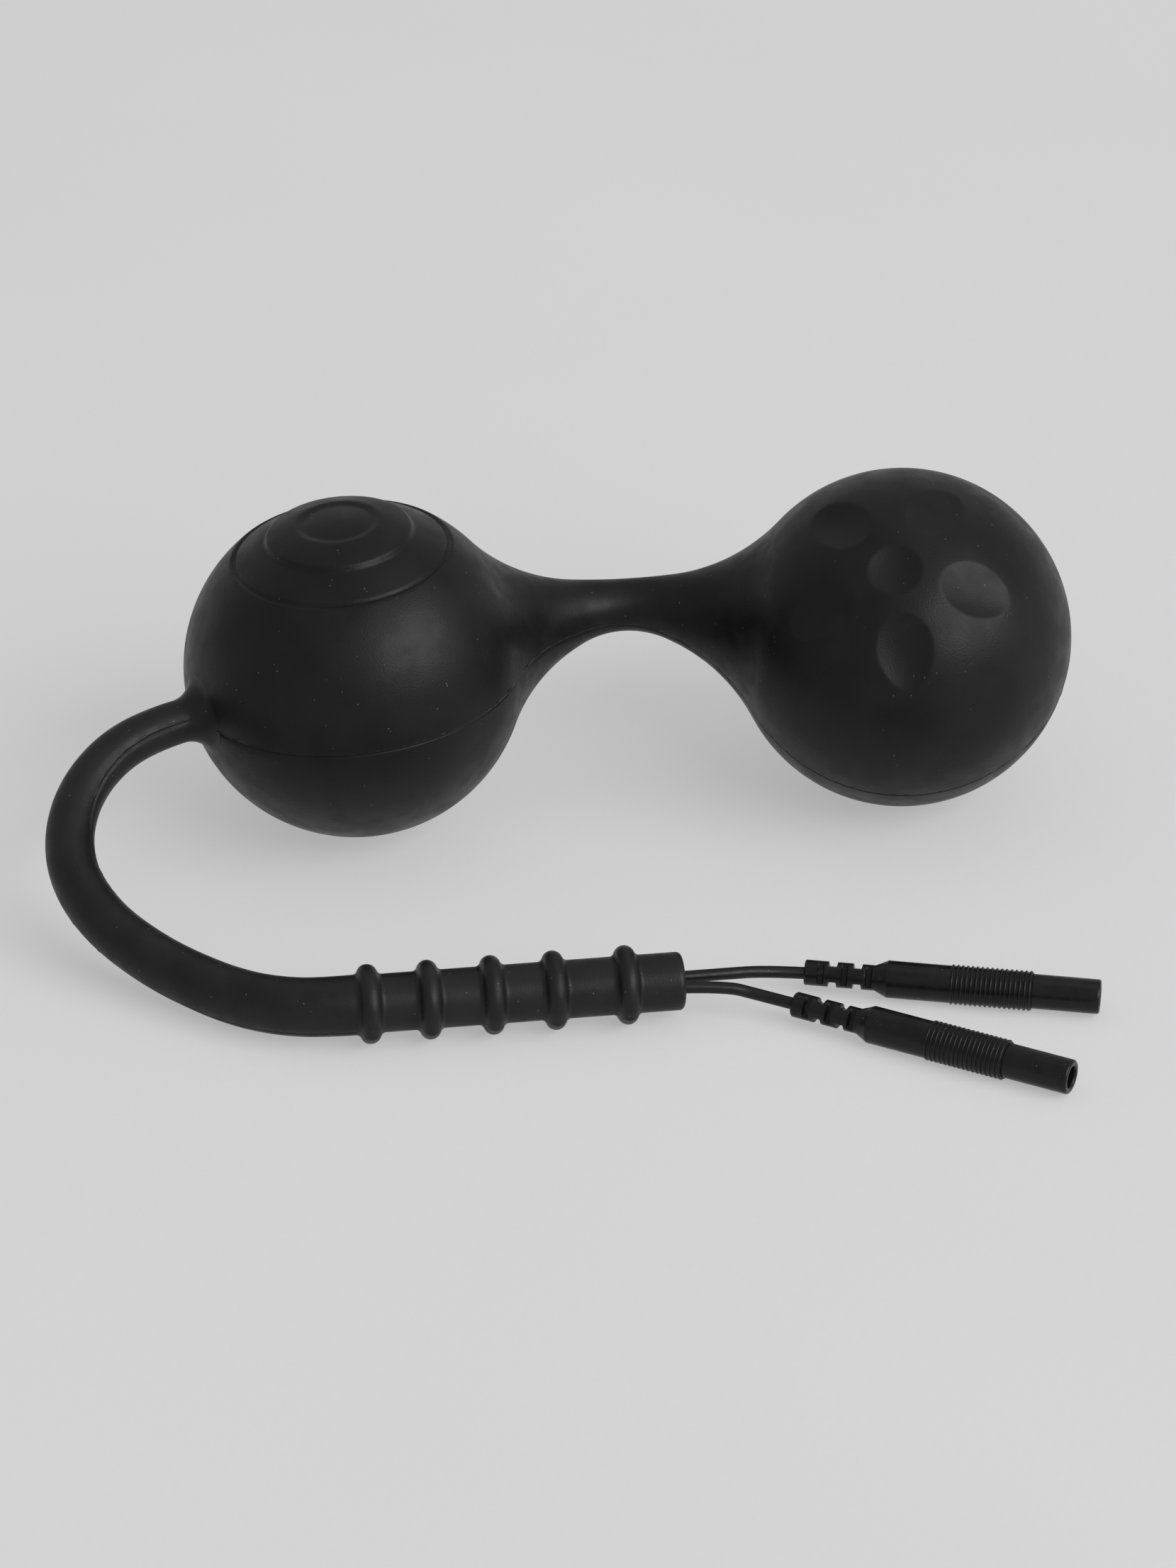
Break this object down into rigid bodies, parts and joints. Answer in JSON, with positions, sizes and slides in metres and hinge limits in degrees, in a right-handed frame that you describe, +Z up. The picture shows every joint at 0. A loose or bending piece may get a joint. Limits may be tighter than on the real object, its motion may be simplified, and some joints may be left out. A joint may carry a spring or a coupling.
{
  "type": "massage ball",
  "caption": "Pair of soft weighted massage balls joined by a waisted flexible neck, with a ribbed tail and thin socket leads.",
  "frame": {"origin": "on the surface that the balls rest on, midway between the two balls", "axes": "+X from the rear ball, which carries the tail, to the front ball; +Z up"},
  "size_m": [0.1157, 0.0861, 0.038],
  "materials": {
    "conductive_skin": "matte conductive silicone",
    "soft_link": "matte silicone",
    "capsule_shell": "moulded, matte",
    "contact_metal": "formed sheet",
    "weight_steel": "ground",
    "wire_jacket": "satin",
    "lead_jacket": "satin",
    "connector_plastic": "satin",
    "tip_plastic": "satin",
    "socket_brass": "turned"
  },
  "bodies": {
    "rear_ball": {"rear_ball_skin": "conductive_skin", "rear_capsule_upper": "capsule_shell", "rear_capsule_lower": "capsule_shell", "rear_contact_cap": "contact_metal", "bridge_wire": "wire_jacket", "tail": "soft_link", "ribbed_grip": "soft_link", "front_lead": "lead_jacket", "rear_lead": "lead_jacket", "upper_connector_body": "connector_plastic", "lower_connector_body": "connector_plastic", "upper_connector_tip": "tip_plastic", "lower_connector_tip": "tip_plastic", "upper_pin_socket": "socket_brass", "lower_pin_socket": "socket_brass"},
    "neck": {"neck": "soft_link", "neck_wire": "wire_jacket"},
    "front_ball": {"front_ball_skin": "conductive_skin", "front_capsule_upper": "capsule_shell", "front_capsule_lower": "capsule_shell", "front_contact_cap": "contact_metal"},
    "rear_weight_ball": {"rear_weight": "weight_steel"},
    "front_weight_ball": {"front_weight": "weight_steel"}
  },
  "joints": [
    {"name": "neck_bend", "type": "hinge", "parent": "rear_ball", "child": "neck", "pos_m": [0, 0.0066, 0.0214], "axis": [0, 0, 1], "range_deg": [-35, 65], "stiffness_Nm_per_rad": 0.005, "deforming": ["neck", "neck_wire"]},
    {"name": "neck_twist", "type": "hinge", "parent": "neck", "child": "front_ball", "pos_m": [0.03075, 0, 0.019], "axis": [-0.9694, 0.2301, 0.0851], "range_deg": [-40, 90], "stiffness_Nm_per_rad": 0.0025, "deforming": ["neck", "neck_wire"]},
    {"name": "rear_weight_roll", "type": "hinge", "parent": "rear_ball", "child": "rear_weight_ball", "pos_m": [-0.03075, 0, 0.019], "axis": [0, 1, 0], "continuous": true},
    {"name": "front_weight_roll", "type": "hinge", "parent": "front_ball", "child": "front_weight_ball", "pos_m": [0.03075, 0, 0.019], "axis": [0, 1, 0], "continuous": true}
  ]
}
